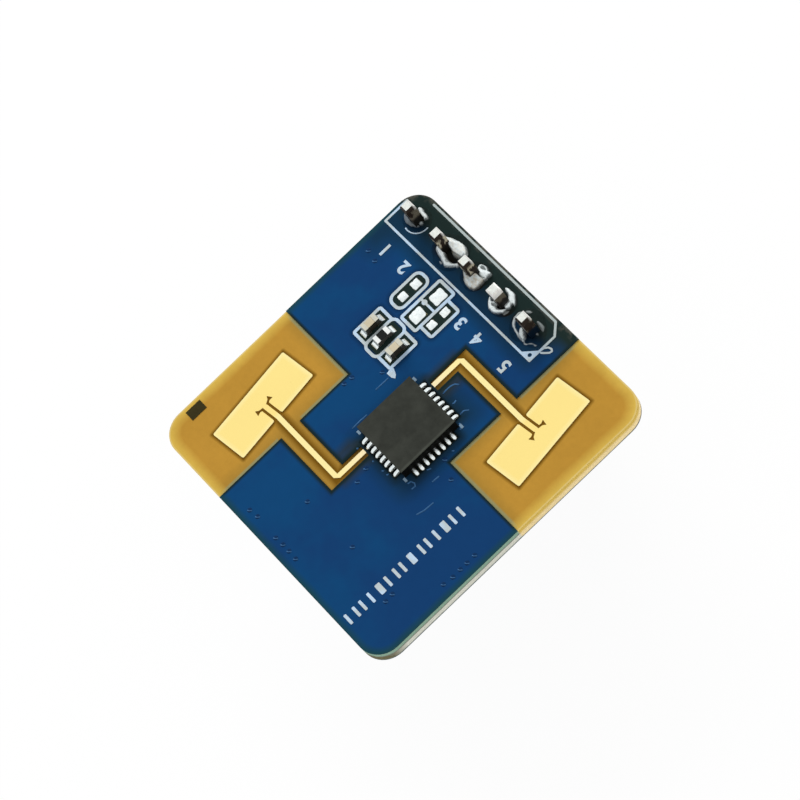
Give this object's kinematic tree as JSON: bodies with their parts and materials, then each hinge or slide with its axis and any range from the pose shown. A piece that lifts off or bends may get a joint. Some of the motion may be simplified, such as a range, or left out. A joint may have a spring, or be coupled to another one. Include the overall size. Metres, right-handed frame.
{
  "type": "microwave radar sensor module",
  "caption": "Small square radar board with tilted inset-fed patch antennas, a leadless radar chip and a pin header, for sensing people and movement.",
  "frame": {"origin": "centre of the board's outline, on the laminate's back face", "axes": "+Z out of the antenna face, +Y from the board's centre towards the header row, +X from the first header pin towards the last"},
  "size_m": [0.02, 0.02, 0.0114],
  "materials": {
    "laminate": "satin glass-fibre laminate",
    "copper_foil": "smooth foil under the mask",
    "blue_mask": "glossy solder mask",
    "light_ink": "matte print",
    "dark_ink": "matte print",
    "antenna_gold": "bright immersion gold",
    "land_gold": "bright immersion gold",
    "chip_mould": "matte moulding compound",
    "tinned_metal": "satin tin",
    "solder": "bright solder",
    "capacitor_ceramic": "satin tan ceramic",
    "resistor_ceramic": "white alumina",
    "resistor_coat": "glossy coat",
    "pin_metal": "tin-plated, drawn",
    "header_plastic": "moulded, matte",
    "crystal_ceramic": "fired ceramic",
    "crystal_metal": "plated lid"
  },
  "bodies": {
    "root": {"circuit_board": "laminate", "front_ground_plane": "copper_foil", "back_ground_plane": "copper_foil", "front_solder_mask": "blue_mask", "back_solder_mask": "blue_mask", "front_silkscreen": "light_ink", "corner_mark": "dark_ink", "transmit_antenna": "antenna_gold", "receive_antenna": "antenna_gold", "radar_chip_lands": "land_gold", "front_part_lands": "land_gold", "controller_lands": "land_gold", "back_part_lands": "land_gold", "plated_hole_1": "land_gold", "plated_hole_2": "land_gold", "plated_hole_3": "land_gold", "plated_hole_4": "land_gold", "plated_hole_5": "land_gold", "radar_chip_body": "chip_mould", "controller_body": "chip_mould", "regulator_body": "chip_mould", "radar_chip_terminals": "tinned_metal", "controller_terminals": "tinned_metal", "regulator_leads": "tinned_metal", "left_capacitor_ends": "tinned_metal", "right_capacitor_ends": "tinned_metal", "front_resistor_ends": "tinned_metal", "back_capacitor_ends": "tinned_metal", "back_resistor_ends": "tinned_metal", "radar_chip_solder": "solder", "controller_solder": "solder", "front_part_solder": "solder", "spare_pads": "solder", "back_part_solder": "solder", "header_solder_1": "solder", "header_solder_2": "solder", "header_solder_3": "solder", "header_solder_4": "solder", "header_solder_5": "solder", "left_capacitor_body": "capacitor_ceramic", "right_capacitor_body": "capacitor_ceramic", "back_capacitor_bodies": "capacitor_ceramic", "front_resistor_body": "resistor_ceramic", "back_resistor_bodies": "resistor_ceramic", "front_resistor_coat": "resistor_coat", "back_resistor_coats": "resistor_coat", "header_pin_1": "pin_metal", "header_pin_2": "pin_metal", "header_pin_3": "pin_metal", "header_pin_4": "pin_metal", "header_pin_5": "pin_metal", "header_base": "header_plastic", "crystal_base": "crystal_ceramic", "crystal_lid": "crystal_metal"}
  },
  "joints": []
}
